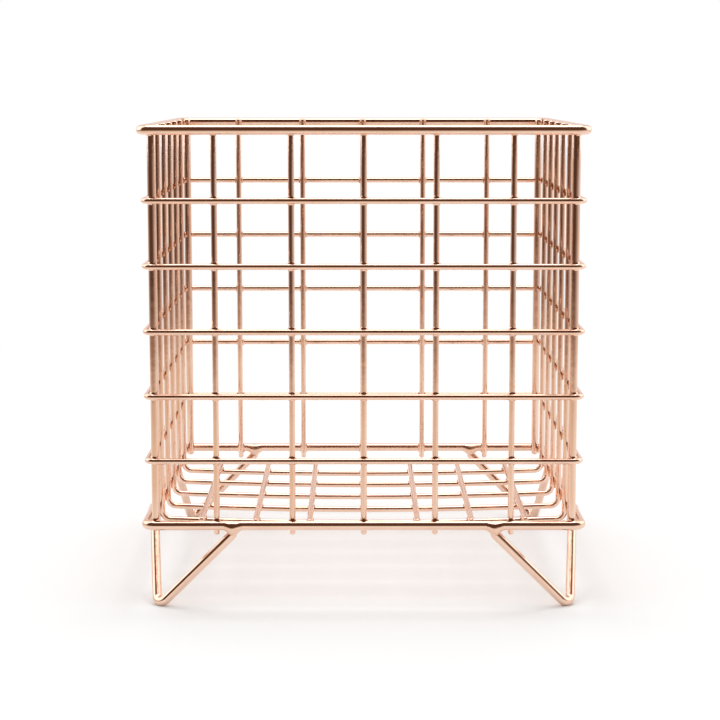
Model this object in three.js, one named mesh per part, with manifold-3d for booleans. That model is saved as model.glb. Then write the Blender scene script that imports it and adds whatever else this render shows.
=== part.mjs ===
// Open wire basket, square in plan, standing on four bent wire legs.
// Millimetres, +Z up, the front wall faces -Y. The origin is on the ground under the middle.

import * as THREE from "three";
import { mergeVertices } from "three/addons/utils/BufferGeometryUtils.js";
import Module from "manifold-3d";

const wasm = await Module();
wasm.setup();

// Wire diameters.
const RIM_WIRE = 4.8;
const BASE_WIRE = 4.8;
const LEG_WIRE = 4.8;
const POST_WIRE = 4.3;
const MESH_WIRE = 3;

// Plan: a post stands at each corner of a square. Side uprights and floor wires spread evenly between
// posts. On the front and back walls the three middle uprights stand a little closer together.
const POST_SPACING = 210;
const FRONT_PITCH = 36;
const FRONT_END_GAP = 30.7;
const SIDE_COUNT = 5;
const SIDE_END_GAP = 38;
const FLOOR_COUNT = 7;
const FLOOR_END_GAP = 21;
const FLOOR_OVERHANG = 15;

// Heights: hoops go up from the base ring at one pitch, then the rim closes the top.
const HOOP_COUNT = 5;
const HOOP_PITCH = 32.65;
const HOOP_TO_RIM = 34.8;
const TOP_TUCK = 0.4;
const UPRIGHT_STUB = 3.2;
const POST_STUB = 1.2;

// Floor: each cradle wire turns in under the base ring and bows down towards the middle.
const FLOOR_DROP = 5.95;
const FLOOR_BEND = 4.5;
const FLOOR_BOW = 2;

// Legs: two arms run down from the base ring to one bend under the corner post.
const LEG_SPREAD = 39;
const LEG_DROP = 43.85;
const LEG_BEND = 4.5;
const FOOT_FLAT = 0.4;

// Leg welds: a bead fills the corner between each arm and the base ring, and stands a little proud.
const BEAD_LENGTH = 8.8;
const BEAD_HEIGHT = 7.6;
const BEAD_DROP = 2.4;
const BEAD_PROUD = 1.2;

// Wires that are welded together keep this clearance. Cut wire ends are rounded off.
const WELD_GAP = 0.3;
const END_ROUND = 0.8;

// Facets of a round wire, of a bend, of a rounded end and of a bead, and how close two points are one.
const WIRE_SIDES = 12;
const BEND_STEPS = 6;
const END_STEPS = 2;
const BEAD_SIDES = 16;
const BEAD_RINGS = 8;
const SAME_POINT = 1e-3;

// Polished rose copper plating over steel wire.
const ROSE_PLATING = { color: 0xdba58a, metalness: 1, roughness: 0.16 };

// Posts and uprights share one outer face, and the rings lie against it.
const halfPlan = POST_SPACING / 2;
const wallFace = halfPlan + POST_WIRE / 2;
const ringInside = wallFace + WELD_GAP;
const uprightLine = wallFace - MESH_WIRE / 2;
const baseLine = ringInside + BASE_WIRE / 2;

// Heights are counted from the middle of the base ring until the basket is set on its feet.
const rimHeight = HOOP_COUNT * HOOP_PITCH + HOOP_TO_RIM;
const uprightTop = rimHeight + RIM_WIRE / 2 - TOP_TUCK;
const uprightBottom = -BASE_WIRE / 2 - UPRIGHT_STUB;
const postBottom = -BASE_WIRE / 2 - POST_STUB;

const SIDES = { left: -1, right: 1 };
const WALLS = { front: -1, back: 1 };

// The centreline of a wire as stations, one wherever the wire starts, turns or stops.
class WireLine extends THREE.Curve {
  constructor(stations) {
    super();
    this.stations = stations;
    this.steps = stations.length - 1;
  }
  station(t) {
    return this.stations[Math.round(t * this.steps)];
  }
  getPoint(t, target = new THREE.Vector3()) {
    return target.copy(this.station(t).point);
  }
  getPointAt(t, target) {
    return this.getPoint(t, target);
  }
  getTangent(t, target = new THREE.Vector3()) {
    return target.copy(this.station(t).tangent);
  }
  getTangentAt(t, target) {
    return this.getTangent(t, target);
  }
}

// Stations round one corner of a wire, on an arc that touches both straight runs.
function bendStations(before, bend, after) {
  const arriving = bend.point.clone().sub(before.point).normalize();
  const leaving = after.point.clone().sub(bend.point).normalize();
  const turn = arriving.angleTo(leaving);
  const reach = bend.radius * Math.tan(turn / 2);
  const start = bend.point.clone().addScaledVector(arriving, -reach);
  const axis = arriving.clone().cross(leaving).normalize();
  const inward = axis.clone().cross(arriving);
  const centre = start.clone().addScaledVector(inward, bend.radius);
  const stations = [];
  for (let step = 0; step <= BEND_STEPS; step += 1) {
    const angle = (turn * step) / BEND_STEPS;
    const spoke = inward.clone().multiplyScalar(-bend.radius).applyAxisAngle(axis, angle);
    stations.push({
      point: centre.clone().add(spoke),
      tangent: arriving.clone().applyAxisAngle(axis, angle),
    });
  }
  return stations;
}

// An open wire through its corners, from the first point to the last.
function openLine(corners) {
  const last = corners.length - 1;
  const inner = corners.slice(1, last);
  const bends = inner.flatMap((bend, i) => bendStations(corners[i], bend, corners[i + 2]));
  const ends = [
    { point: corners[0].point, tangent: bends[0].tangent },
    { point: corners[last].point, tangent: bends[bends.length - 1].tangent },
  ];
  return new WireLine([ends[0], ...bends, ends[1]]);
}

// A closed wire round its corners, with its first station repeated at the end.
function closedLine(corners) {
  const count = corners.length;
  const bends = corners.flatMap((bend, i) =>
    bendStations(corners[(i + count - 1) % count], bend, corners[(i + 1) % count]),
  );
  return new WireLine([...bends, bends[0]]);
}

function corner(x, y, z, radius = 0) {
  return { point: new THREE.Vector3(x, y, z), radius };
}

// The round section of a wire.
function wireSection(diameter) {
  const points = [];
  for (let side = 0; side < WIRE_SIDES; side += 1) {
    const angle = (2 * Math.PI * side) / WIRE_SIDES;
    const spoke = new THREE.Vector2(Math.cos(angle), Math.sin(angle));
    points.push(spoke.multiplyScalar(diameter / 2));
  }
  return new THREE.Shape(points);
}

// A bent wire with square cut ends.
function bentWire(line, diameter) {
  return new THREE.ExtrudeGeometry(wireSection(diameter), { steps: line.steps, extrudePath: line });
}

// A wire bent and butt welded into a ring.
function ringWire(line, diameter) {
  return new THREE.TubeGeometry(line, line.steps, diameter / 2, WIRE_SIDES, true);
}

// The profile of a wire's rounded end, from its tip on the axis out to the full radius.
function endProfile(diameter, tip, inward) {
  const radius = diameter / 2;
  const round = Math.min(END_ROUND, radius);
  const points = [new THREE.Vector2(0, tip)];
  for (let step = 0; step <= END_STEPS; step += 1) {
    const angle = (step / END_STEPS) * (Math.PI / 2);
    const outward = radius - round + round * Math.sin(angle);
    points.push(new THREE.Vector2(outward, tip + inward * round * (1 - Math.cos(angle))));
  }
  return points;
}

// A straight wire along Z.
function straightWire(diameter, bottom, top) {
  const lower = endProfile(diameter, bottom, 1);
  const upper = endProfile(diameter, top, -1).reverse();
  return new THREE.LatheGeometry([...lower, ...upper], WIRE_SIDES).rotateX(Math.PI / 2);
}

function toSolid(geometry) {
  const bare = geometry.clone().deleteAttribute("normal").deleteAttribute("uv");
  const merged = mergeVertices(bare, SAME_POINT);
  return new wasm.Manifold(
    new wasm.Mesh({
      numProp: 3,
      vertProperties: merged.attributes.position.array,
      triVerts: new Uint32Array(merged.index.array),
    }),
  );
}

function toGeometry(solid) {
  const mesh = solid.getMesh();
  const geometry = new THREE.BufferGeometry();
  geometry.setAttribute("position", new THREE.BufferAttribute(mesh.vertProperties, 3));
  geometry.setIndex(new THREE.BufferAttribute(mesh.triVerts, 1));
  geometry.computeVertexNormals();
  return geometry;
}

function platedWire(name, geometry) {
  const mesh = new THREE.Mesh(geometry, new THREE.MeshStandardMaterial(ROSE_PLATING));
  mesh.name = name;
  return mesh;
}

// Places of evenly spread wires between two posts, the outer ones one end gap away from the posts.
function spread(count, endGap) {
  const reach = halfPlan - endGap;
  return Array.from({ length: count }, (_, i) => -reach + (2 * reach * i) / (count - 1));
}

// A ring lies against the outside of the walls and bends closely round the posts.
function ringLine(diameter, height) {
  const line = ringInside + diameter / 2;
  const radius = POST_WIRE / 2 + WELD_GAP + diameter / 2;
  return closedLine([
    corner(line, -line, height, radius),
    corner(line, line, height, radius),
    corner(-line, line, height, radius),
    corner(-line, -line, height, radius),
  ]);
}

function ring(name, diameter, height) {
  return platedWire(name, ringWire(ringLine(diameter, height), diameter));
}

function rings() {
  const made = [ring("base_ring", BASE_WIRE, 0), ring("rim_ring", RIM_WIRE, rimHeight)];
  for (let i = 1; i <= HOOP_COUNT; i += 1) {
    made.push(ring(`hoop_${i}`, MESH_WIRE, i * HOOP_PITCH));
  }
  return made;
}

function cornerPosts() {
  const made = [];
  for (const [wall, y] of Object.entries(WALLS)) {
    for (const [side, x] of Object.entries(SIDES)) {
      const post = platedWire(
        `corner_post_${wall}_${side}`,
        straightWire(POST_WIRE, postBottom, uprightTop),
      );
      post.position.set(x * halfPlan, y * halfPlan, 0);
      made.push(post);
    }
  }
  return made;
}

// Front and back uprights: three about the middle, and one near each post.
const frontReach = halfPlan - FRONT_END_GAP;
const frontPlaces = [-frontReach, -FRONT_PITCH, 0, FRONT_PITCH, frontReach];

function wallUprights() {
  const made = [];
  for (const [wall, y] of Object.entries(WALLS)) {
    frontPlaces.forEach((x, i) => {
      const upright = platedWire(
        `${wall}_upright_${i + 1}`,
        straightWire(MESH_WIRE, uprightBottom, uprightTop),
      );
      upright.position.set(x, y * uprightLine, 0);
      made.push(upright);
    });
  }
  return made;
}

// The bow of a cradle wire's floor run: an arc that touches the two bends.
const bowCorner = -FLOOR_DROP - 2 * FLOOR_BOW;
const bowSlope = Math.atan2(2 * FLOOR_BOW, uprightLine);
const bendReach = FLOOR_BEND * Math.tan((Math.PI / 2 - bowSlope) / 2);
const bowRadius = (uprightLine / Math.cos(bowSlope) - bendReach) / Math.tan(bowSlope);

function cradleHeight(x) {
  const centre = bowCorner + bowRadius / Math.cos(bowSlope);
  return centre - Math.sqrt(bowRadius ** 2 - x ** 2);
}

// One cradle wire is a left upright, a floor run and a right upright in one piece.
function cradleWires() {
  return spread(SIDE_COUNT, SIDE_END_GAP).map((y, i) => {
    const path = openLine([
      corner(-uprightLine, y, uprightTop),
      corner(-uprightLine, y, -FLOOR_DROP, FLOOR_BEND),
      corner(0, y, bowCorner, bowRadius),
      corner(uprightLine, y, -FLOOR_DROP, FLOOR_BEND),
      corner(uprightLine, y, uprightTop),
    ]);
    return platedWire(`cradle_wire_${i + 1}`, bentWire(path, MESH_WIRE));
  });
}

// Floor wires run front to back on top of the cradle wires and stop a little past the outer ones.
function floorWires() {
  const halfLength = halfPlan - SIDE_END_GAP + FLOOR_OVERHANG;
  return spread(FLOOR_COUNT, FLOOR_END_GAP).map((x, i) => {
    const geometry = straightWire(MESH_WIRE, -halfLength, halfLength).rotateX(Math.PI / 2);
    const wire = platedWire(`floor_wire_${i + 1}`, geometry);
    wire.position.set(x, 0, cradleHeight(x) + MESH_WIRE + WELD_GAP);
    return wire;
  });
}

// A leg arm stops where the upper edge of its cut end comes up to the base ring.
const weldPlace = halfPlan - LEG_SPREAD;
const armSlope = Math.atan2(LEG_DROP - BASE_WIRE / 2, LEG_SPREAD);
const armTop = -BASE_WIRE / 2 - WELD_GAP - (LEG_WIRE / 2) * Math.cos(armSlope);

function legLine(x, y) {
  return openLine([
    corner(x * weldPlace, y * baseLine, armTop),
    corner(x * halfPlan, y * halfPlan, -LEG_DROP, LEG_BEND),
    corner(x * baseLine, y * weldPlace, armTop),
  ]);
}

// The lowest point of a leg, less the flat that is cut there, is the ground.
const footBend = legLine(1, -1).stations.map((station) => station.point.z);
const ground = Math.min(...footBend) - LEG_WIRE / 2 + FOOT_FLAT;

// A bead starts at the inner side of the base ring and ends proud of its outer side.
const beadDepth = BASE_WIRE + BEAD_PROUD;
const beadLine = ringInside + beadDepth / 2;

function weldBead(alongX, alongY, x, y) {
  const ball = new THREE.SphereGeometry(1, BEAD_SIDES, BEAD_RINGS).rotateX(Math.PI / 2);
  ball.scale(alongX / 2, alongY / 2, BEAD_HEIGHT / 2);
  return toSolid(ball.translate(x, y, -BEAD_DROP));
}

// A leg is one bent wire with a bead at the top of each arm, clear of the base ring and flat at the foot.
function legs() {
  const block = new THREE.BoxGeometry(2 * POST_SPACING, 2 * POST_SPACING, LEG_DROP);
  const below = toSolid(block.translate(0, 0, ground - LEG_DROP / 2));
  const ringRoom = toSolid(ringWire(ringLine(BASE_WIRE, 0), BASE_WIRE + 2 * WELD_GAP));
  const cut = below.add(ringRoom);
  const made = [];
  for (const [wall, y] of Object.entries(WALLS)) {
    for (const [side, x] of Object.entries(SIDES)) {
      const wire = toSolid(bentWire(legLine(x, y), LEG_WIRE));
      const wallBead = weldBead(BEAD_LENGTH, beadDepth, x * weldPlace, y * beadLine);
      const sideBead = weldBead(beadDepth, BEAD_LENGTH, x * beadLine, y * weldPlace);
      const leg = wire.add(wallBead).add(sideBead).subtract(cut);
      made.push(platedWire(`leg_${wall}_${side}`, toGeometry(leg)));
    }
  }
  return made;
}

const basket = new THREE.Group();
basket.name = "wire_basket";
basket.position.z = -ground;
basket.add(...rings(), ...cornerPosts(), ...wallUprights(), ...cradleWires(), ...floorWires(), ...legs());

const part = new THREE.Group();
part.add(basket);

export default part;
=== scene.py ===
# %% [markdown]
# # A rose copper wire basket
# The basket is welded from steel wire and then plated, so every piece of it is a round wire or a weld.
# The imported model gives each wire's place and thickness. This lesson bends smooth wires on those places,
# adds the welds that hold them together, and gives all of it a polished rose copper plating.

import math

import bpy
from mathutils import Matrix, Vector


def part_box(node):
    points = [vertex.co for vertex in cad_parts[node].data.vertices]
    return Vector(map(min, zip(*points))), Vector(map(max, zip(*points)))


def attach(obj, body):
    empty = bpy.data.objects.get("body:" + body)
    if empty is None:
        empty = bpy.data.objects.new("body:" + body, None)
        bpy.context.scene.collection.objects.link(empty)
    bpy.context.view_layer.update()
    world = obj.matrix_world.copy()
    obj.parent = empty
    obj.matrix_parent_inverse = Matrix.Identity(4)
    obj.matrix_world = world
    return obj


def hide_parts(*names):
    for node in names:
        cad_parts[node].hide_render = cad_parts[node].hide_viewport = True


MM = 0.001
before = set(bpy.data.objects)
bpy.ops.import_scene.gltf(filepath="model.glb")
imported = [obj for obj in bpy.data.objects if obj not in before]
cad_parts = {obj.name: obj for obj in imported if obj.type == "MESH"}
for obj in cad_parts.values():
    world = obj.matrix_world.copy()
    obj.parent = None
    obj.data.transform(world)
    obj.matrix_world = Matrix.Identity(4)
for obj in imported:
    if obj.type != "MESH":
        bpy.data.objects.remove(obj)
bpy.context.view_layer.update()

# %% [markdown]
# ## Camera
# The photograph was taken with a long lens, from in front of the basket and a little above it. The place
# of the camera and its focal length come from lining up the wires of the four walls with the picture.
# A camera with the same numbers shows the same perspective, so wires can be compared one by one.

# %% A long lens in front of the basket
QUARTER_TURN = math.pi / 2
PICTURE_WIDTH = 720
FOCAL_LENGTH_PIXELS = 2001
SENSOR_WIDTH = 36
CAMERA_PLACE = Vector((-3.3, -1097.4, 262.8)) * MM
CAMERA_PITCH = 0.1367
CAMERA_YAW = 0.0014

bpy.ops.object.select_all(action="DESELECT")
bpy.ops.object.camera_add(
    location=CAMERA_PLACE,
    rotation=(QUARTER_TURN - CAMERA_PITCH, 0, -CAMERA_YAW),
)
camera = bpy.context.object
camera.data.sensor_width = SENSOR_WIDTH
camera.data.lens = SENSOR_WIDTH * FOCAL_LENGTH_PIXELS / PICTURE_WIDTH
bpy.context.scene.camera = camera
bpy.context.scene.view_settings.view_transform = "Standard"
print("camera lens in mm:", round(camera.data.lens, 1))

# %% [markdown]
# ## A bending machine for wire
# Real wire comes off a coil, and a machine feeds a straight length, turns a bend, feeds again, and so on.
# A tube along a curve would also do, but feeding and bending is how the real piece is made, and it keeps
# every bend a true arc. The round section is a circle, a feed extrudes it, and a bend spins it.

# %% Feed and bend
WIRE_SIDES = 28
STEPS_PER_QUARTER_TURN = 10
SAME_POINT = 0.01 * MM
SMOOTH_ANGLE = math.radians(40)


class BendingMachine:
    """Holds where the open end of a wire is, and which way it points."""

    def __init__(self, diameter, place, heading):
        self.place = Vector(place)
        self.heading = Vector(heading).normalized()
        bpy.ops.object.select_all(action="DESELECT")
        bpy.ops.mesh.primitive_circle_add(
            vertices=WIRE_SIDES,
            radius=diameter / 2,
            location=self.place,
            rotation=self.heading.to_track_quat("Z", "Y").to_euler(),
        )
        bpy.ops.object.transform_apply(location=True, rotation=True, scale=True)
        bpy.ops.object.mode_set(mode="EDIT")
        bpy.ops.mesh.select_all(action="SELECT")

    def feed(self, length):
        step = self.heading * length
        bpy.ops.mesh.extrude_edges_move(TRANSFORM_OT_translate={"value": step})
        self.place += step

    def bend(self, angle, radius, axis):
        axis = Vector(axis).normalized()
        centre = self.place + axis.cross(self.heading) * radius
        steps = math.ceil(STEPS_PER_QUARTER_TURN * angle / QUARTER_TURN)
        steps = max(STEPS_PER_QUARTER_TURN, steps)
        bpy.ops.mesh.spin(steps=steps, angle=-angle, center=centre, axis=axis)
        turn = Matrix.Rotation(angle, 3, axis)
        self.place = centre + turn @ (self.place - centre)
        self.heading = turn @ self.heading

    def cut_off(self, name):
        bpy.ops.mesh.select_all(action="SELECT")
        bpy.ops.mesh.remove_doubles(threshold=SAME_POINT)
        bpy.ops.mesh.fill_holes(sides=WIRE_SIDES)
        bpy.ops.mesh.normals_make_consistent(inside=False)
        bpy.ops.object.mode_set(mode="OBJECT")
        wire = bpy.context.object
        wire.name = name
        wire.data.name = name
        bpy.ops.object.shade_smooth_by_angle(angle=SMOOTH_ANGLE)
        return wire


print("wire sides:", WIRE_SIDES, "steps in a quarter turn:", STEPS_PER_QUARTER_TURN)

# %% [markdown]
# ## Picking and rounding
# A cut wire has a sharp end, and plating and tumbling leave it round. By hand, one would click on the end
# cap and bevel it. Here a test picks the cap by its number of corners, because no other face of a wire has
# as many.

# %% Pick parts of a mesh and round the ends of a wire
END_ROUND_SHARE = 0.8
END_ROUND_STEPS = 5


def make_active(piece):
    bpy.ops.object.select_all(action="DESELECT")
    piece.select_set(True)
    bpy.context.view_layer.objects.active = piece


def pick(piece, element, chosen):
    """Enters edit mode with only the vertices or faces selected that the test chooses."""
    if bpy.context.mode != "OBJECT":
        bpy.ops.object.mode_set(mode="OBJECT")
    make_active(piece)
    bpy.ops.object.mode_set(mode="EDIT")
    bpy.ops.mesh.select_mode(type=element)
    bpy.ops.mesh.select_all(action="DESELECT")
    bpy.ops.object.mode_set(mode="OBJECT")
    for item in piece.data.vertices if element == "VERT" else piece.data.polygons:
        item.select = chosen(item)
    bpy.ops.object.mode_set(mode="EDIT")


def round_ends(wire, diameter):
    pick(wire, "FACE", lambda face: len(face.vertices) == WIRE_SIDES)
    bpy.ops.mesh.bevel(
        offset=END_ROUND_SHARE * diameter / 2,
        segments=END_ROUND_STEPS,
        affect="EDGES",
    )
    bpy.ops.object.mode_set(mode="OBJECT")


print("steps in a rounded end:", END_ROUND_STEPS)

# %% [markdown]
# ## Copying and measuring
# Pieces that repeat are modelled once, and each copy gets a mesh of its own. The place of a copy goes into
# its mesh, so that patterns on object coordinates don't slide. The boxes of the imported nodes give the
# middle and the size of every wire, so no place has to be written twice.

# %% Copy a piece and measure a node
def copy_piece(piece, name, shift=(0, 0, 0), turn=0.0):
    """A copy with its own mesh, turned about the upright axis of the basket and then moved."""
    make_active(piece)
    bpy.ops.object.duplicate()
    twin = bpy.context.object
    twin.name = name
    twin.data.name = name
    twin.location = shift
    twin.rotation_euler.z = turn
    bpy.ops.object.transform_apply(location=True, rotation=True, scale=True)
    return twin


def middle(node):
    low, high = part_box(node)
    return (low + high) / 2


def size(node):
    low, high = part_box(node)
    return high - low


def nodes_named(prefixes):
    return [name for name in sorted(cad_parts) if name.startswith(prefixes)]


pieces = {}
print("nodes to replace:", len(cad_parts))

# %% [markdown]
# ## Rings
# The rim and the base are heavy wire, and five hoops of thin wire lie between them. Each is a square with
# tightly rounded corners that goes outside the uprights and turns closely round the corner posts. Four
# feeds and four bends close it, and the last section lands on the first one, where the doubles merge.

# %% The rim, the base ring and the hoops
POST = "corner_post_front_left"
post_diameter = size(POST).x
post_line = -middle(POST).x


def bend_ring(name, node):
    low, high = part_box(node)
    diameter = high.z - low.z
    line = high.x - diameter / 2
    radius = line - post_line
    machine = BendingMachine(diameter, (line, -post_line, middle(node).z), (0, 1, 0))
    for side in range(4):
        machine.feed(2 * post_line)
        machine.bend(QUARTER_TURN, radius, (0, 0, 1))
    return machine.cut_off(name)


pieces["rim_ring"] = bend_ring("rim_ring_wire", "rim_ring")
drop = middle("base_ring") - middle("rim_ring")
pieces["base_ring"] = copy_piece(pieces["rim_ring"], "base_ring_wire", drop)
pieces["hoop_1"] = bend_ring("hoop_1_wire", "hoop_1")
HOOPS = nodes_named("hoop_")
for node in HOOPS[1:]:
    rise = middle(node) - middle("hoop_1")
    pieces[node] = copy_piece(pieces["hoop_1"], f"{node}_wire", rise)
print("rings:", len(HOOPS) + 2, "faces in one:", len(pieces["rim_ring"].data.polygons))

# %% [markdown]
# ## Straight wires
# Corner posts, front and back uprights and floor wires are straight. One of each kind is fed and rounded
# at its ends, and the others are copies of it.

# %% Posts, uprights and floor wires
X, Y, Z = range(3)


def straight_wire(name, node, axis):
    low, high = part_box(node)
    across = X if axis == Z else Z
    diameter = high[across] - low[across]
    start = middle(node)
    start[axis] = low[axis]
    heading = Vector((0, 0, 0))
    heading[axis] = 1
    machine = BendingMachine(diameter, start, heading)
    machine.feed(high[axis] - low[axis])
    wire = machine.cut_off(name)
    round_ends(wire, diameter)
    return wire


def straight_family(prefixes, axis):
    nodes = nodes_named(prefixes)
    first = nodes[0]
    pieces[first] = straight_wire(f"{first}_wire", first, axis)
    for node in nodes[1:]:
        move = middle(node) - middle(first)
        pieces[node] = copy_piece(pieces[first], f"{node}_wire", move)
    return nodes


POSTS = straight_family("corner_post_", Z)
UPRIGHTS = straight_family(("front_upright_", "back_upright_"), Z)
FLOOR_WIRES = straight_family("floor_wire_", Y)
print("posts:", len(POSTS), "uprights:", len(UPRIGHTS), "floor wires:", len(FLOOR_WIRES))

# %% [markdown]
# ## Cradle wires
# Each cradle wire is an upright of the left wall, a run across the floor and an upright of the right wall,
# in one piece. The floor run sags a little in the middle. The machine feeds down, turns in under the base
# ring, follows the long shallow bow, turns up and feeds to the rim.

# %% Bend one cradle wire and copy it
CRADLE_BEND = 4.5 * MM
CRADLE_BOW = 2 * MM
CRADLES = nodes_named("cradle_wire_")
TURN_IN = (0, -1, 0)

cradle_low, cradle_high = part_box(CRADLES[0])
cradle_diameter = cradle_high.y - cradle_low.y
cradle_line = cradle_high.x - cradle_diameter / 2
bow_slope = math.atan2(2 * CRADLE_BOW, cradle_line)
bend_angle = QUARTER_TURN - bow_slope
bend_reach = CRADLE_BEND * math.tan(bend_angle / 2)
bow_radius = (cradle_line / math.cos(bow_slope) - bend_reach) / math.tan(bow_slope)
bow_bottom = cradle_low.z + cradle_diameter / 2
floor_corner = bow_bottom + 2 * CRADLE_BOW - bow_radius * (1 / math.cos(bow_slope) - 1)
upright_run = cradle_high.z - floor_corner - bend_reach

cradle_end = Vector((-cradle_line, middle(CRADLES[0]).y, cradle_high.z))
machine = BendingMachine(cradle_diameter, cradle_end, (0, 0, -1))
machine.feed(upright_run)
machine.bend(bend_angle, CRADLE_BEND, TURN_IN)
machine.bend(2 * bow_slope, bow_radius, TURN_IN)
machine.bend(bend_angle, CRADLE_BEND, TURN_IN)
machine.feed(upright_run)
pieces[CRADLES[0]] = machine.cut_off(f"{CRADLES[0]}_wire")
round_ends(pieces[CRADLES[0]], cradle_diameter)
for node in CRADLES[1:]:
    move = middle(node) - middle(CRADLES[0])
    pieces[node] = copy_piece(pieces[CRADLES[0]], f"{node}_wire", move)
print("cradle wires:", len(CRADLES), "ends off by mm:", round((machine.place.x - cradle_line) / MM, 4))

# %% [markdown]
# ## Legs
# A leg is heavy wire with one tight bend at the foot. Its two arms rise towards the base ring on either
# side of the corner. They stop just under it with rounded ends, and welds will bridge what is left. First
# come three points: the end of each arm, and the foot, where the two arms would meet without a bend.

# %% Lay out one leg
LEG_SPREAD = 39 * MM
LEG_DROP = 43.85 * MM
LEG_SEAT_GAP = 0.3 * MM
LEG_OVERLAP = 1.1 * MM

base_low, base_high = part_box("base_ring")
base_diameter = base_high.z - base_low.z
base_line = base_high.x - base_diameter / 2
base_height = (base_low.z + base_high.z) / 2
leg_diameter = base_diameter
weld_line = post_line - LEG_SPREAD
arm_slope = math.atan2(LEG_DROP - base_diameter / 2, LEG_SPREAD)
arm_seat = base_low.z - LEG_SEAT_GAP - leg_diameter / 2 * math.cos(arm_slope)
arm_top = arm_seat + LEG_OVERLAP

foot = Vector((-post_line, -post_line, base_height - LEG_DROP))
arm_reach = LEG_SPREAD * (arm_top - foot.z) / (arm_seat - foot.z)
front_end = Vector((foot.x + arm_reach, -base_line, arm_top))
side_end = Vector((-base_line, foot.y + arm_reach, arm_top))
print("arm slope in degrees:", round(math.degrees(arm_slope), 1))

# %% [markdown]
# ## Bending the legs
# The machine feeds down the front arm, turns the foot and feeds up the side arm. The foot is ground flat
# where it stands, which a bisect at floor height does. The four legs are alike, so the other three are the
# first one, turned about the middle of the basket.

# %% Bend one leg and turn it to the four corners
LEG_BEND = 4.5 * MM
CUT_TOLERANCE = SAME_POINT / 100
LEGS = ("leg_front_left", "leg_front_right", "leg_back_right", "leg_back_left")

down = (foot - front_end).normalized()
up = (side_end - foot).normalized()
foot_turn = down.angle(up)
arm_run = (foot - front_end).length - LEG_BEND * math.tan(foot_turn / 2)

machine = BendingMachine(leg_diameter, front_end, down)
machine.feed(arm_run)
machine.bend(foot_turn, LEG_BEND, down.cross(up))
machine.feed(arm_run)
leg = machine.cut_off(f"{LEGS[0]}_wire")
round_ends(leg, leg_diameter)
bpy.ops.object.mode_set(mode="EDIT")
bpy.ops.mesh.select_all(action="SELECT")
bpy.ops.mesh.bisect(
    plane_co=(0, 0, 0),
    plane_no=(0, 0, 1),
    use_fill=True,
    clear_inner=True,
    threshold=CUT_TOLERANCE,
)
bpy.ops.object.mode_set(mode="OBJECT")
bpy.ops.object.shade_smooth_by_angle(angle=SMOOTH_ANGLE)
pieces[LEGS[0]] = leg
for quarter, node in enumerate(LEGS[1:], start=1):
    pieces[node] = copy_piece(leg, f"{node}_wire", turn=quarter * QUARTER_TURN)
print("legs:", len(LEGS), "foot turn in degrees:", round(math.degrees(foot_turn), 1))

# %% [markdown]
# ## Crossing welds
# Wherever two wires of the mesh cross, they are pressed together and welded, and a little metal squeezes
# out into the four corners of the crossing. From a step away it rounds those corners. Together with the
# floor there are 175 crossings, so one weld has fewer than a hundred faces. It starts as a ball, pressed
# so flat that only its edge is round.

# %% Press a ball flat
WELD_SEGMENTS = 24
WELD_RINGS = 4
WELD_THICKNESS = 0.55 * MM
WELD_FLAT = 1.25


def press_ball(name, reach):
    """A flat oval in the plane of X and Z, with the reach as its half width and half height."""
    bpy.ops.object.select_all(action="DESELECT")
    bpy.ops.mesh.primitive_uv_sphere_add(
        segments=WELD_SEGMENTS,
        ring_count=WELD_RINGS,
        radius=1,
        rotation=(QUARTER_TURN, 0, 0),
    )
    weld = bpy.context.object
    weld.name = name
    weld.scale = (reach.x, reach.z, WELD_THICKNESS)
    bpy.ops.object.transform_apply(location=True, rotation=True, scale=True)
    pick(weld, "VERT", lambda point: abs(point.co.y) > WELD_THICKNESS / 2)
    bpy.ops.transform.resize(value=(WELD_FLAT, 1, WELD_FLAT), center_override=(0, 0, 0))
    return weld


def lower_top(weld, share):
    """Presses the upper half of a weld down to a share of its height."""
    pick(weld, "VERT", lambda point: point.co.z > SAME_POINT)
    bpy.ops.transform.resize(value=(1, 1, share), center_override=(0, 0, 0))


print("faces round a weld:", WELD_SEGMENTS)

# %% [markdown]
# ## Lobes of a crossing weld
# The flat ball is pulled into four lobes, two that hug the ring and lean to its side, and two that hug the
# upright and lean to the other side. The points halfway between are drawn in to the corner of the
# crossing.

# %% Pull the flat ball into lobes
WEB_SHARE = 0.28
LOBE_SHARE = 0.95
WELD_SADDLE = 0.5 * MM
SEGMENT_TURN = 360 / WELD_SEGMENTS
DIAGONAL = 45
SAME_TURN = 1
mesh_diameter = size("hoop_1").z


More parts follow.
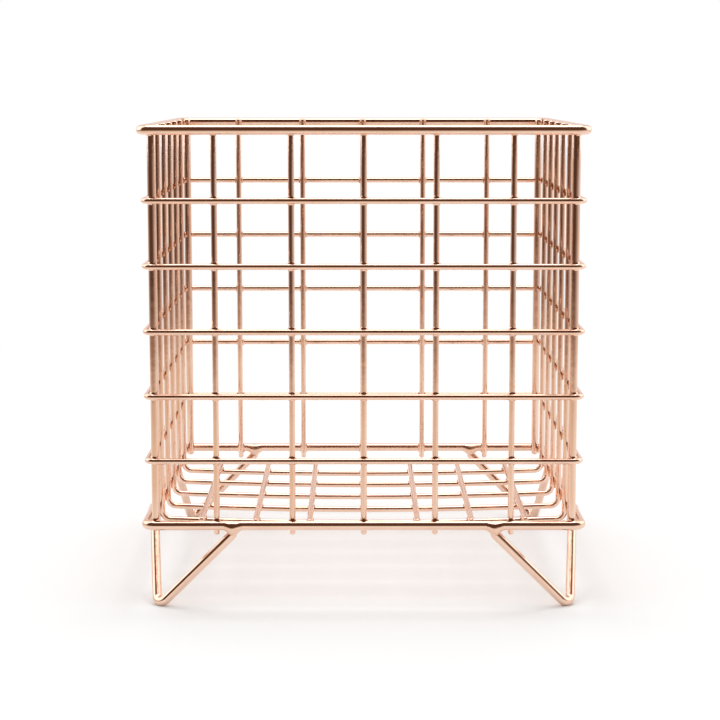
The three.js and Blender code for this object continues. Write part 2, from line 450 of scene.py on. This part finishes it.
def shape_crossing_weld(name, ring_diameter, lobe, top_share=1.0):
    """A weld at the origin. The ring runs along X on the -Y side, the upright along Z on the +Y side."""
    upright_radius = mesh_diameter / 2
    ring_radius = ring_diameter / 2
    reach = Vector((upright_radius + lobe, 0, ring_radius + lobe))
    weld = press_ball(name, reach)

    def turn(point):
        return math.degrees(math.atan2(abs(point.co.z) / reach.z, abs(point.co.x) / reach.x))

    def pull(degrees, x, z):
        """Moves the points at one angle of the oval so that its edge there comes to x and z."""
        pick(weld, "VERT", lambda point: abs(turn(point) - degrees) < SAME_TURN)
        angle = math.radians(degrees)
        across = x / (reach.x * math.cos(angle))
        along = z / (reach.z * math.sin(angle))
        bpy.ops.transform.resize(value=(across, 1, along), center_override=(0, 0, 0))

    pick(weld, "VERT", lambda point: turn(point) < DIAGONAL - SAME_TURN)
    bpy.ops.transform.translate(value=(0, -WELD_SADDLE, 0))
    pick(weld, "VERT", lambda point: turn(point) > DIAGONAL + SAME_TURN)
    bpy.ops.transform.translate(value=(0, WELD_SADDLE, 0))
    web = WEB_SHARE * lobe
    pull(DIAGONAL, upright_radius + web, ring_radius + web)
    pull(DIAGONAL - SEGMENT_TURN, LOBE_SHARE * reach.x, LOBE_SHARE * ring_radius)
    pull(DIAGONAL + SEGMENT_TURN, LOBE_SHARE * upright_radius, LOBE_SHARE * reach.z)
    if top_share < 1:
        lower_top(weld, top_share)
    bpy.ops.object.mode_set(mode="OBJECT")
    bpy.ops.object.shade_smooth()
    return weld


print("a lobe reaches one segment off the diagonal, in degrees:", SEGMENT_TURN)

# %% [markdown]
# ## Three patterns for a wall
# A wall has welds of three sizes, for the hoops, the base ring and the rim. On the rim the upper lobe is
# pressed down, so that it ends below the top of the wire.

# %% Welds for the hoops, the base ring and the rim
HOOP_LOBE = 1 * MM
BASE_LOBE = 0.7 * MM
RIM_LOBE = 0.6 * MM
RIM_CAP = 0.75
rim_diameter = size("rim_ring").z


def rim_share(lobe):
    """How far a weld that stands above the rim by one lobe is pressed down to end below its top."""
    return RIM_CAP * (rim_diameter / 2) / (rim_diameter / 2 + lobe)


hoop_weld = shape_crossing_weld("hoop_weld", mesh_diameter, HOOP_LOBE)
base_weld = shape_crossing_weld("base_weld", rim_diameter, BASE_LOBE)
rim_weld = shape_crossing_weld("rim_weld", rim_diameter, RIM_LOBE, rim_share(RIM_LOBE))
print("faces in one weld:", len(hoop_weld.data.polygons))

# %% [markdown]
# ## Welds on the walls
# The welds of one wall are copies of three patterns, one each for the hoops, the base ring and the rim,
# joined into one piece. The front wall is filled first. Turning the patterns a quarter, half and three
# quarter turn about the middle of the basket gives the other walls, with the spacing of their own wires.

# %% Copy the welds to every crossing of a wall
def join_pieces(members, name):
    make_active(members[0])
    for member in members:
        member.select_set(True)
    bpy.ops.object.join()
    joined = bpy.context.object
    joined.name = name
    joined.data.name = name
    return joined


LEVELS = [(middle("base_ring").z, base_weld), (middle("rim_ring").z, rim_weld)]
LEVELS += [(middle(node).z, hoop_weld) for node in HOOPS]
FRONT_PLACES = [middle(node).x for node in UPRIGHTS if node.startswith("front_")]
SIDE_PLACES = [middle(node).y for node in CRADLES]
WALL_PLACES = {
    "front": FRONT_PLACES,
    "right": SIDE_PLACES,
    "back": FRONT_PLACES,
    "left": SIDE_PLACES,
}
upright_face = cradle_line + cradle_diameter / 2
ring_face = base_line - base_diameter / 2
contact_line = (upright_face + ring_face) / 2
welds = []
for quarter, (wall, places) in enumerate(WALL_PLACES.items()):
    turn = quarter * QUARTER_TURN
    wall_turn = Matrix.Rotation(turn, 3, "Z")
    members = []
    for along in places:
        for height, pattern in LEVELS:
            spot = wall_turn @ Vector((along, -contact_line, height))
            members.append(copy_piece(pattern, f"{wall}_weld", spot, turn))
    welds.append(join_pieces(members, f"{wall}_wall_welds"))
print("wall welds:", {weld.name: len(weld.data.polygons) for weld in welds})

# %% [markdown]
# ## Floor welds
# The floor wires lie on the cradle wires, and each crossing is welded in the same way, but with less metal.
# The pattern is laid flat: its ring side turns up to the floor wire, and its upright side down to the
# cradle wire.

# %% Lay welds on the floor crossings
FLOOR_LOBE = 0.6 * MM

flat_weld = shape_crossing_weld("flat_weld", mesh_diameter, FLOOR_LOBE)
flat_weld.rotation_euler = (-QUARTER_TURN, 0, QUARTER_TURN)
bpy.ops.object.transform_apply(location=True, rotation=True, scale=True)
members = []
for node in FLOOR_WIRES:
    seat = middle(node)
    seat.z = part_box(node)[0].z
    for along in SIDE_PLACES:
        members.append(copy_piece(flat_weld, "floor_weld", (seat.x, along, seat.z)))
welds.append(join_pieces(members, "floor_welds"))
print("floor welds:", len(members))

# %% [markdown]
# ## Corner welds
# At a corner post the ring wraps a quarter turn, and the weld fills the thin crevice between the two. A
# strip cut from a tube would leave sharp edges, so a flat oval section is spun round the post instead.

# %% Spin a corner weld
CORNER_WELD_SIDES = 8
CORNER_WELD_STEPS = 8
CORNER_WELD_TURN = math.radians(110)
CORNER_WELD_FILLET = 0.6 * MM
CORNER_WELD_THICKNESS = 0.5 * MM
CORNER_WELD_SMOOTH = math.radians(60)
FRONT_LEFT = -math.pi * 3 / 4


def spin_corner_weld(name, ring_diameter, top_share=1.0):
    """A weld round a post at the origin, on the outer side of the front left corner."""
    start = FRONT_LEFT - CORNER_WELD_TURN / 2
    outward = Vector((math.cos(start), math.sin(start), 0))
    bpy.ops.object.select_all(action="DESELECT")
    bpy.ops.mesh.primitive_circle_add(
        vertices=CORNER_WELD_SIDES,
        radius=1,
        location=outward * post_diameter / 2,
        rotation=(QUARTER_TURN, 0, start),
    )
    weld = bpy.context.object
    weld.name = name
    weld.scale = (CORNER_WELD_THICKNESS, ring_diameter / 2 + CORNER_WELD_FILLET, 1)
    bpy.ops.object.transform_apply(location=True, rotation=True, scale=True)
    bpy.ops.object.mode_set(mode="EDIT")
    bpy.ops.mesh.select_all(action="SELECT")
    bpy.ops.mesh.spin(
        steps=CORNER_WELD_STEPS,
        angle=-CORNER_WELD_TURN,
        center=(0, 0, 0),
        axis=(0, 0, 1),
    )
    bpy.ops.mesh.select_all(action="SELECT")
    bpy.ops.mesh.fill_holes(sides=CORNER_WELD_SIDES)
    bpy.ops.mesh.normals_make_consistent(inside=False)
    if top_share < 1:
        lower_top(weld, top_share)
    bpy.ops.object.mode_set(mode="OBJECT")
    bpy.ops.object.shade_smooth_by_angle(angle=CORNER_WELD_SMOOTH)
    return weld


CORNER_PATTERNS = {
    "base_ring": spin_corner_weld("corner_base_weld", rim_diameter),
    "rim_ring": spin_corner_weld("corner_rim_weld", rim_diameter, rim_share(CORNER_WELD_FILLET)),
    "hoop": spin_corner_weld("corner_hoop_weld", mesh_diameter),
}
print("corner patterns:", len(CORNER_PATTERNS))

# %% [markdown]
# ## Corner welds on the posts
# Each post crosses seven rings. The patterns are copied to all of them, and a quarter turn from one corner
# to the next keeps each weld on the outer side of its post.

# %% Set the corner welds on every level
CORNERS = ("front_left", "front_right", "back_right", "back_left")

members = []
for quarter, corner in enumerate(CORNERS):
    spot = middle(f"corner_post_{corner}")
    for node in ["base_ring", "rim_ring", *HOOPS]:
        pattern = CORNER_PATTERNS[node if node in CORNER_PATTERNS else "hoop"]
        level = Vector((spot.x, spot.y, middle(node).z))
        members.append(copy_piece(pattern, "corner_weld", level, quarter * QUARTER_TURN))
welds.append(join_pieces(members, "corner_welds"))
print("corner welds:", len(members))

# %% [markdown]
# ## Leg welds
# Each arm of a leg is welded under the base ring by hand. The metal flows along the ring, stands a little
# proud of it, and sags onto the end of the arm. The bead starts as a short length of ring wire, extruded
# row by row. Its middle rows are swollen and lowered, and the outer rows hardly at all, so that it leaves
# the ring smoothly.

# %% Swell a short wire into a bead
BEAD_LENGTH = 10.4 * MM
BEAD_ROWS = 16
BEAD_INSET = 0.06 * MM
BEAD_DROP = 1.15 * MM
BEAD_SAG = 0.35
BEAD_LUMP = 0.24 * MM

bead_proud = base_low.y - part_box(LEGS[0])[0].y
bead_radius = base_diameter / 2 - BEAD_INSET
bead_swell = (base_diameter / 2 + bead_proud - BEAD_LUMP / 2) / bead_radius - 1
machine = BendingMachine(2 * bead_radius, (-BEAD_LENGTH / 2, 0, 0), (1, 0, 0))
for row in range(BEAD_ROWS):
    machine.feed(BEAD_LENGTH / BEAD_ROWS)
bead = machine.cut_off("leg_bead")
for row in range(1, BEAD_ROWS):
    along = BEAD_LENGTH * (row / BEAD_ROWS - 0.5)
    share = (1 + math.cos(2 * math.pi * along / BEAD_LENGTH)) / 2
    swell = 1 + share * bead_swell
    drop = share * BEAD_DROP
    pick(bead, "VERT", lambda point: abs(point.co.x - along) < SAME_POINT)
    bpy.ops.transform.resize(value=(1, swell, swell), center_override=(along, 0, 0))
    bpy.ops.transform.translate(value=(0, 0, -drop))
    pick(bead, "VERT", lambda point: abs(point.co.x - along) < SAME_POINT and point.co.z < -drop)
    bpy.ops.transform.resize(value=(1, 1, 1 + share * BEAD_SAG), center_override=(along, 0, -drop))
bpy.ops.object.mode_set(mode="OBJECT")
print("bead stands proud by mm:", round(bead_proud / MM, 2))

# %% [markdown]
# ## The face of the bead
# The metal runs down and leaves a sloping face on top of the bead that catches the lamp. Pushing points
# about would blur the edge of that face, so a bisect just outside the ring makes it. The beads are then
# copied to the two arms of each leg.

# %% Cut the face and copy the bead to the eight arms
BEAD_FACE_SLOPE = math.radians(50)
BEAD_FACE_GAP = 0.05 * MM

face_normal = Vector((0, -math.cos(BEAD_FACE_SLOPE), math.sin(BEAD_FACE_SLOPE)))
bpy.ops.object.mode_set(mode="EDIT")
bpy.ops.mesh.select_all(action="SELECT")
bpy.ops.mesh.bisect(
    plane_co=face_normal * (base_diameter / 2 + BEAD_FACE_GAP),
    plane_no=face_normal,
    use_fill=True,
    clear_outer=True,
    threshold=CUT_TOLERANCE,
)
bpy.ops.object.mode_set(mode="OBJECT")
members = []
for quarter in range(len(LEGS)):
    turn = quarter * QUARTER_TURN
    corner_turn = Matrix.Rotation(turn, 3, "Z")
    front_spot = corner_turn @ Vector((-weld_line, -base_line, base_height))
    side_spot = corner_turn @ Vector((-base_line, -weld_line, base_height))
    members.append(copy_piece(bead, "bead", front_spot, turn))
    members.append(copy_piece(bead, "bead", side_spot, turn - QUARTER_TURN))
leg_welds = join_pieces(members, "leg_welds")
print("leg welds:", len(members))

# %% [markdown]
# ## Lumps on the beads
# No two beads laid by hand are alike. A cloudy displacement, measured in the space of the whole basket,
# makes each copy lumpy in its own way. After that the patterns have done their work and are deleted.

# %% Make the beads lumpy and clear the bench
BEAD_LUMP_SIZE = 1.6 * MM

clouds = bpy.data.textures.new("bead_lumps", "CLOUDS")
clouds.noise_scale = BEAD_LUMP_SIZE
lumps = leg_welds.modifiers.new("lumps", "DISPLACE")
lumps.texture = clouds
lumps.texture_coords = "LOCAL"
lumps.strength = BEAD_LUMP
bpy.ops.object.modifier_apply(modifier="lumps")
bpy.ops.object.shade_smooth_by_angle(angle=SMOOTH_ANGLE)
welds.append(leg_welds)
for pattern in [hoop_weld, base_weld, rim_weld, flat_weld, bead, *CORNER_PATTERNS.values()]:
    bpy.data.objects.remove(pattern)
print("weld pieces:", [piece.name for piece in welds])

# %% [markdown]
# ## Plating: helpers for nodes
# Polished plating is never perfectly even. Its tone drifts a little along the wire, the die that drew the
# wire leaves fine lines along it, and the surface keeps shallow waves that make reflections wander. Each
# effect is a node group, so that every finish can use it with its own values. A few helpers add the nodes
# that all of them need.

# %% Add groups, noise, sums, ranges and mixes
def new_group(name, inputs, outputs):
    group = bpy.data.node_groups.new(name, "ShaderNodeTree")
    for socket, kind in inputs:
        group.interface.new_socket(socket, in_out="INPUT", socket_type=kind)
    for socket, kind in outputs:
        group.interface.new_socket(socket, in_out="OUTPUT", socket_type=kind)
    entry = group.nodes.new("NodeGroupInput")
    leave = group.nodes.new("NodeGroupOutput")
    return group, entry, leave


def add_noise(tree, vector, scale, detail):
    noise = tree.nodes.new("ShaderNodeTexNoise")
    noise.inputs["Scale"].default_value = scale
    noise.inputs["Detail"].default_value = detail
    tree.links.new(vector, noise.inputs["Vector"])
    return noise.outputs["Fac"]


def add_math(tree, operation, first, second):
    node = tree.nodes.new("ShaderNodeMath")
    node.operation = operation
    for socket, value in zip(node.inputs, (first, second)):
        if isinstance(value, (int, float)):
            socket.default_value = value
        else:
            tree.links.new(value, socket)
    return node.outputs[0]


def add_range(tree, value, low, high, to_low, to_high):
    node = tree.nodes.new("ShaderNodeMapRange")
    for socket, number in zip(("From Min", "From Max", "To Min", "To Max"), (low, high, to_low, to_high)):
        node.inputs[socket].default_value = number
    tree.links.new(value, node.inputs["Value"])
    return node.outputs["Result"]


def add_mix(tree, factor, first, second):
    node = tree.nodes.new("ShaderNodeMix")
    node.data_type = "RGBA"
    tree.links.new(factor, node.inputs["Factor"])
    for socket, value in (("A", first), ("B", second)):
        if isinstance(value, tuple):
            node.inputs[socket].default_value = value
        else:
            tree.links.new(value, node.inputs[socket])
    return node.outputs["Result"]


EFFECTS = {}
print("node helpers ready, effects so far:", len(EFFECTS))

# %% [markdown]
# ## Plating: tone
# The bath doesn't lay the metal down evenly, so the colour drifts between a light and a deep rose over a
# few centimetres, with a fine speckle on top. Two noises of very different size are added to one mask, and
# the mask mixes the two tones.

# %% Node group for the tone
DRIFT_SCALE = 45
DRIFT_RANGE = (0.35, 0.7)
DRIFT_SHARE = 0.75
SPECKLE_SCALE = 1400
SPECKLE_RANGE = (0.45, 0.75)
SPECKLE_SHARE = 0.2
TONE_DETAIL = 2


def tone_group():
    """Slow drift and fine speckle between two tones of plating."""
    group, entry, leave = new_group(
        "plating_tone",
        [("Vector", "NodeSocketVector"), ("Light", "NodeSocketColor"), ("Deep", "NodeSocketColor")],
        [("Color", "NodeSocketColor")],
    )
    drift = add_noise(group, entry.outputs["Vector"], DRIFT_SCALE, TONE_DETAIL)
    drift = add_range(group, drift, *DRIFT_RANGE, 0, DRIFT_SHARE)
    speckle = add_noise(group, entry.outputs["Vector"], SPECKLE_SCALE, TONE_DETAIL)
    speckle = add_range(group, speckle, *SPECKLE_RANGE, 0, SPECKLE_SHARE)
    mask = add_math(group, "ADD", drift, speckle)
    colour = add_mix(group, mask, entry.outputs["Light"], entry.outputs["Deep"])
    group.links.new(colour, leave.inputs["Color"])
    return group


EFFECTS["tone"] = tone_group()
print("node group:", EFFECTS["tone"].name)

# %% [markdown]
# ## Plating: drawn lines and waves
# The lines of the drawing die are a fine noise, stretched along the wire by scaling its coordinates down in
# that direction. The waves of the polish are a few millimetres long, with a much finer grain on top. The
# lines will change the roughness, and the waves the height.

# %% Node groups for lines and waves
LINES_SCALE = 3200
LINES_DETAIL = 2
WAVES_SCALE = 230
GRAIN_SCALE = 1900
GRAIN_SHARE = 0.12
WAVES_DETAIL = 1


def lines_group():
    """Fine lines along the wire, from noise that is stretched along it."""
    group, entry, leave = new_group(
        "drawn_lines",
        [("Vector", "NodeSocketVector"), ("Stretch", "NodeSocketVector")],
        [("Lines", "NodeSocketFloat")],
    )
    stretch = group.nodes.new("ShaderNodeVectorMath")
    stretch.operation = "MULTIPLY"
    group.links.new(entry.outputs["Vector"], stretch.inputs[0])
    group.links.new(entry.outputs["Stretch"], stretch.inputs[1])
    lines = add_noise(group, stretch.outputs[0], LINES_SCALE, LINES_DETAIL)
    group.links.new(lines, leave.inputs["Lines"])
    return group


def waves_group():
    """Shallow waves a few millimetres long, with a finer grain on top of them."""
    group, entry, leave = new_group(
        "polish_waves",
        [("Vector", "NodeSocketVector")],
        [("Height", "NodeSocketFloat")],
    )
    waves = add_noise(group, entry.outputs["Vector"], WAVES_SCALE, WAVES_DETAIL)
    grain = add_noise(group, entry.outputs["Vector"], GRAIN_SCALE, WAVES_DETAIL)
    grain = add_math(group, "MULTIPLY", grain, GRAIN_SHARE)
    group.links.new(add_math(group, "ADD", waves, grain), leave.inputs["Height"])
    return group


EFFECTS["lines"] = lines_group()
EFFECTS["waves"] = waves_group()
print("node groups:", [group.name for group in EFFECTS.values()])

# %% [markdown]
# ## Plating: one recipe
# The plating is a metal with low roughness. Its tone, roughness and normals come from the three groups,
# which all read object coordinates, so that the pattern stays on the wire. The shader itself stays in the
# material, where the export can read it.

# %% A recipe for plating
LINES_RANGE = (0.3, 0.7)


def add_group(tree, effect, vector):
    node = tree.nodes.new("ShaderNodeGroup")
    node.node_tree = EFFECTS[effect]
    tree.links.new(vector, node.inputs["Vector"])
    return node


def plating(name, light, deep, stretch, roughness, wave_height):
    material = bpy.data.materials.new(name)
    material.use_nodes = True
    tree = material.node_tree
    shader = tree.nodes["Principled BSDF"]
    shader.inputs["Metallic"].default_value = 1
    place = tree.nodes.new("ShaderNodeTexCoord").outputs["Object"]

    tone = add_group(tree, "tone", place)
    tone.inputs["Light"].default_value = light
    tone.inputs["Deep"].default_value = deep
    tree.links.new(tone.outputs["Color"], shader.inputs["Base Color"])

    lines = add_group(tree, "lines", place)
    lines.inputs["Stretch"].default_value = stretch
    rough = add_range(tree, lines.outputs["Lines"], *LINES_RANGE, *roughness)
    tree.links.new(rough, shader.inputs["Roughness"])

    waves = add_group(tree, "waves", place)
    bump = tree.nodes.new("ShaderNodeBump")
    bump.inputs["Strength"].default_value = 1
    bump.inputs["Distance"].default_value = wave_height
    tree.links.new(waves.outputs["Height"], bump.inputs["Height"])
    tree.links.new(bump.outputs["Normal"], shader.inputs["Normal"])
    return material


print("the recipe uses:", list(EFFECTS))

# %% [markdown]
# ## Plating: the finishes
# All wires share one rose copper. Only the direction of the drawn lines differs, up the uprights and along
# the level wires, and the level wires are polished a little flatter. The welds are the same metal, less
# smooth and with no drawn lines. Their deeper colour is painted shade, for the light that bounces between
# copper surfaces in the crevices of each weld.

# %% Rose copper on wires and welds
ROSE_LIGHT = (0.9, 0.655, 0.525, 1)
ROSE_DEEP = (0.84, 0.56, 0.42, 1)
WIRE_ROUGHNESS = (0.07, 0.13)
UPRIGHT_LINES = (1, 1, 0.03)
UPRIGHT_WAVES = 0.03 * MM
LEVEL_LINES = (0.03, 0.03, 1)
LEVEL_WAVES = 0.02 * MM
# Deeper weld tones: painted shade of the crevices round each weld.
SHADED_WELD_LIGHT = (0.89, 0.63, 0.49, 1)
SHADED_WELD_DEEP = (0.8, 0.5, 0.36, 1)
WELD_ROUGHNESS = (0.09, 0.18)
WELD_GRAIN = (1, 1, 1)
WELD_WAVES = 0.05 * MM

upright_plating = plating(
    "upright_plating", ROSE_LIGHT, ROSE_DEEP, UPRIGHT_LINES, WIRE_ROUGHNESS, UPRIGHT_WAVES
)
level_plating = plating(
    "level_plating", ROSE_LIGHT, ROSE_DEEP, LEVEL_LINES, WIRE_ROUGHNESS, LEVEL_WAVES
)
weld_plating = plating(
    "weld_plating", SHADED_WELD_LIGHT, SHADED_WELD_DEEP, WELD_GRAIN, WELD_ROUGHNESS, WELD_WAVES
)
print("finishes:", upright_plating.name, level_plating.name, weld_plating.name)

# %% [markdown]
# ## Dress the basket
# Each smooth wire takes the place of its node, and every piece rides on the one body, because all of the
# basket is welded together and nothing moves.

# %% Set finishes, bodies and the nodes that wires stand for
UPRIGHT_KINDS = ("corner_post", "front_upright", "back_upright", "cradle", "leg")


def dress(piece, finish):
    piece.data.materials.clear()
    piece.data.materials.append(finish)
    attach(piece, "root")


for node, piece in pieces.items():
    dress(piece, upright_plating if node.startswith(UPRIGHT_KINDS) else level_plating)
    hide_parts(node)
for piece in welds:
    dress(piece, weld_plating)
print("wires:", len(pieces), "weld pieces:", len(welds))

# %% [markdown]
# ## Studio
# Polished metal is seen by what it reflects, so the studio is made for the reflections: bright light from
# above, a white table round the basket and a dim, warm front. They give a white line on top of each level
# wire, a dark line under it and a pale underside. The uprights come out dark above and pale below. First
# come a few helpers that tell places and kinds of ray apart.

# %% Fades, turned axes and kinds of ray
def add_fade(tree, value, span):
    """Zero up to the start of the span, one from its end on, and a straight ramp between."""
    return add_range(tree, value, *span, 0, 1)


def add_axes(tree, turn):
    """The place on the object, turned about the upright axis, as separate X, Y and Z."""
    turned = tree.nodes.new("ShaderNodeMapping")
    turned.inputs["Rotation"].default_value = (0, 0, turn)
    tree.links.new(tree.nodes.new("ShaderNodeTexCoord").outputs["Object"], turned.inputs["Vector"])
    axes = tree.nodes.new("ShaderNodeSeparateXYZ")
    tree.links.new(turned.outputs["Vector"], axes.inputs["Vector"])
    return axes.outputs


def add_reflected(tree, with_camera):
    """One for rays that reflections and glass send out, and for camera rays too if asked."""
    ray = tree.nodes.new("ShaderNodeLightPath")
    seen = add_math(tree, "MAXIMUM", ray.outputs["Is Glossy Ray"], ray.outputs["Is Transmission Ray"])
    if with_camera:
        seen = add_math(tree, "MAXIMUM", seen, ray.outputs["Is Camera Ray"])
    return seen


def bare_material(name):
    """A material with nothing in it but its output."""
    material = bpy.data.materials.new(name)
    material.use_nodes = True
    material.node_tree.nodes.remove(material.node_tree.nodes["Principled BSDF"])
    return material


print("studio helpers ready, materials so far:", len(bpy.data.materials))

# %% [markdown]
# ## Table
# The table is white paper that takes the shadow of the basket. Further out it glows white, so that the
# picture has a white background without more light on the basket. In reflections the paper towards the
# front is a painted glow instead, turning warm, then tan, then dim with the distance: painted light
# falloff over a table and a dim room beyond it.

# %% White paper with a painted falloff glow
FLOOR_WHITE = (0.97, 0.97, 0.97, 1)
FLOOR_LIT_RADIUS = (0.5, 0.95)
WARM_RADIUS = (0.15, 0.4)
TAN_RADIUS = (0.4, 0.75)
ROOM_RADIUS = (0.75, 1.0)
FRONT_TURN = math.radians(28)
FRONT_SHARE = (-0.5, 0.9)
WHITE = (1, 1, 1, 1)
PAINTED_FALLOFF_WARM = (0.86, 0.78, 0.67, 1)
PAINTED_FALLOFF_TAN = (0.78, 0.66, 0.53, 1)
PAINTED_ROOM_TAN = (0.42, 0.3, 0.235, 1)


def add_painted_falloff(tree, radius, front):
    """Painted reflection: white, but towards the front warm, then tan, then dim with the distance from the
    basket, as light falling off.
    """
    colour = add_mix(tree, add_fade(tree, radius, WARM_RADIUS), WHITE, PAINTED_FALLOFF_WARM)
    colour = add_mix(tree, add_fade(tree, radius, TAN_RADIUS), colour, PAINTED_FALLOFF_TAN)
    colour = add_mix(tree, add_fade(tree, radius, ROOM_RADIUS), colour, PAINTED_ROOM_TAN)
    return add_mix(tree, front, WHITE, colour)


def white_paper_with_painted_falloff(name):
    """Matt paper near the basket that turns into a glow further out, with a painted falloff glow in
    reflections towards the front.
    """
    paper = bare_material(name)
    tree = paper.node_tree
    axes = add_axes(tree, FRONT_TURN)
    span = tree.nodes.new("ShaderNodeVectorMath")
    span.operation = "LENGTH"
    tree.links.new(tree.nodes.new("ShaderNodeTexCoord").outputs["Object"], span.inputs[0])
    radius = span.outputs["Value"]
    forward = add_math(tree, "DIVIDE", add_math(tree, "MULTIPLY", axes["Y"], -1), radius)
    mirrored = add_reflected(tree, with_camera=False)
    front = add_math(tree, "MULTIPLY", add_fade(tree, forward, FRONT_SHARE), mirrored)

    matt = tree.nodes.new("ShaderNodeBsdfDiffuse")
    matt.inputs["Color"].default_value = FLOOR_WHITE
    glow = tree.nodes.new("ShaderNodeEmission")
    tree.links.new(add_painted_falloff(tree, radius, front), glow.inputs["Color"])
    far = add_fade(tree, radius, FLOOR_LIT_RADIUS)
    far = add_math(tree, "MULTIPLY", far, add_reflected(tree, with_camera=True))
    # Reflections towards the front see the painted falloff glow, not the lit paper.
    near_front = add_math(tree, "MULTIPLY", front, add_fade(tree, radius, WARM_RADIUS))
    blend = tree.nodes.new("ShaderNodeMixShader")
    tree.links.new(add_math(tree, "MAXIMUM", far, near_front), blend.inputs["Fac"])
    tree.links.new(matt.outputs["BSDF"], blend.inputs[1])
    tree.links.new(glow.outputs["Emission"], blend.inputs[2])
    tree.links.new(blend.outputs["Shader"], tree.nodes["Material Output"].inputs["Surface"])
    return paper


paper = white_paper_with_painted_falloff("white_paper_with_painted_falloff")
print("nodes in the paper:", len(paper.node_tree.nodes))

# %% [markdown]
# ## Floor
# The paper lies on one large plane under the feet. Far out it is as white as the world behind it, so its
# edge doesn't show in the picture.

# %% White floor
FLOOR_HALF = 8

bpy.ops.object.select_all(action="DESELECT")
bpy.ops.mesh.primitive_plane_add(size=2 * FLOOR_HALF)
floor = bpy.context.object
floor.name = "studio_floor"
floor.data.materials.append(paper)
print("floor half width in m:", FLOOR_HALF)

# %% [markdown]
# ## Lamp and world
# One large soft lamp hangs over the table, a little behind the basket, and a white world fills the
# shadows. The camera and reflections see the world at full white, and the light that it gives is set
# apart from that, so that paper and plating render at about the tone they are written in.

# %% Soft lamp and white world
LAMP_HEIGHT = 1.5
LAMP_SIDE = 1.1
LAMP_BACK = 0.17
LAMP_RADIANCE = 2.3
WORLD_FILL = 0.8

world = bpy.data.worlds.new("white_world")
bpy.context.scene.world = world
world.use_nodes = True
tree = world.node_tree
sky = tree.nodes["Background"]
sky.inputs["Color"].default_value = WHITE
seen = add_reflected(tree, with_camera=True)
tree.links.new(add_range(tree, seen, 0, 1, WORLD_FILL, 1), sky.inputs["Strength"])
bpy.ops.object.select_all(action="DESELECT")
bpy.ops.object.light_add(type="AREA", location=(0, LAMP_BACK, LAMP_HEIGHT))
lamp = bpy.context.object
lamp.name = "soft_lamp"
lamp.data.shape = "SQUARE"
lamp.data.size = LAMP_SIDE
lamp.data.energy = LAMP_RADIANCE * math.pi * LAMP_SIDE**2
print("lamp power in W:", round(lamp.data.energy, 1))

# %% [markdown]
# ## Painted glow for the panels
# In a studio, a shiny object is shaded with dark cards and lit with white ones. Here two rings of glowing
# panels paint those reflections instead. Their glow is painted shade, dark brown in front, fading to tan at
# the foot, where it meets the table. At the sides it is a painted bright glow, and at the back a pale and
# warm one.

# %% A painted glow that is dark in front
PANEL_RADIUS = 1.0
BACK_SHARE = (0.6, 0.8)
PAINTED_BACK_GLOW = (0.88, 0.74, 0.69, 1)
FOOT_FADE = (0, 0.08)
PAINTED_ROOM_SHADE = (0.1, 0.05, 0.032, 1)


def painted_panel_glow(name, turn, front_share, sides):
    """Painted reflection glow: brown shade in front, tan at the foot there, bright at the sides and pale
    and warm at the back.
    """
    panel_glow = bare_material(name)
    tree = panel_glow.node_tree
    axes = add_axes(tree, turn)
    forward = add_math(tree, "DIVIDE", axes["Y"], -PANEL_RADIUS)
    in_front = add_fade(tree, forward, front_share)
    behind = add_fade(tree, add_math(tree, "MULTIPLY", forward, -1), BACK_SHARE)
    room = add_mix(tree, add_fade(tree, axes["Z"], FOOT_FADE), PAINTED_ROOM_TAN, PAINTED_ROOM_SHADE)
    colour = add_mix(tree, in_front, sides, room)
    colour = add_mix(tree, behind, colour, PAINTED_BACK_GLOW)
    # The panels are not lit; their colour glows as a painted reflection.
    glow = tree.nodes.new("ShaderNodeEmission")
    tree.links.new(colour, glow.inputs["Color"])
    tree.links.new(glow.outputs["Emission"], tree.nodes["Material Output"].inputs["Surface"])
    return panel_glow


print("panel radius in m:", PANEL_RADIUS)

# %% [markdown]
# ## Panels round the table
# Only reflections see the panels, so they throw no light on the table and don't stand in the picture. The
# low ring is a painted dim room that the uprights show. The high ring is painted dark in front, for the
# line under each highlight, and glows bright at the sides.

# %% Low and high panels
PANEL_SPLIT = 0.2
PANEL_TOP = 4
PANEL_SIDES = 96
# Painted glow at the sides of the panels, seen only in reflections.
PAINTED_LOW_SIDE_GLOW = (0.9, 0.81, 0.75, 1)
HIGH_SHARE = (0.1, 0.35)
PAINTED_HIGH_SIDE_GLOW = (1.6, 1.6, 1.6, 1)


def stand_panels(name, bottom, top, panel_glow):
    bpy.ops.object.select_all(action="DESELECT")
    bpy.ops.mesh.primitive_cylinder_add(
        vertices=PANEL_SIDES,
        radius=PANEL_RADIUS,
        depth=top - bottom,
        end_fill_type="NOTHING",
        location=(0, 0, (bottom + top) / 2),
    )
    panels = bpy.context.object
    panels.name = name
    bpy.ops.object.transform_apply(location=True, rotation=True, scale=True)
    panels.data.materials.append(panel_glow)
    panels.visible_camera = False
    panels.visible_diffuse = False
    panels.visible_transmission = False
    panels.visible_shadow = False


low_panel_glow = painted_panel_glow("low_panel_glow", FRONT_TURN, FRONT_SHARE, PAINTED_LOW_SIDE_GLOW)
stand_panels("low_panels", 0, PANEL_SPLIT, low_panel_glow)
high_panel_glow = painted_panel_glow("high_panel_glow", 0, HIGH_SHARE, PAINTED_HIGH_SIDE_GLOW)
stand_panels("high_panels", PANEL_SPLIT, PANEL_TOP, high_panel_glow)
print("panels up to m:", PANEL_TOP)
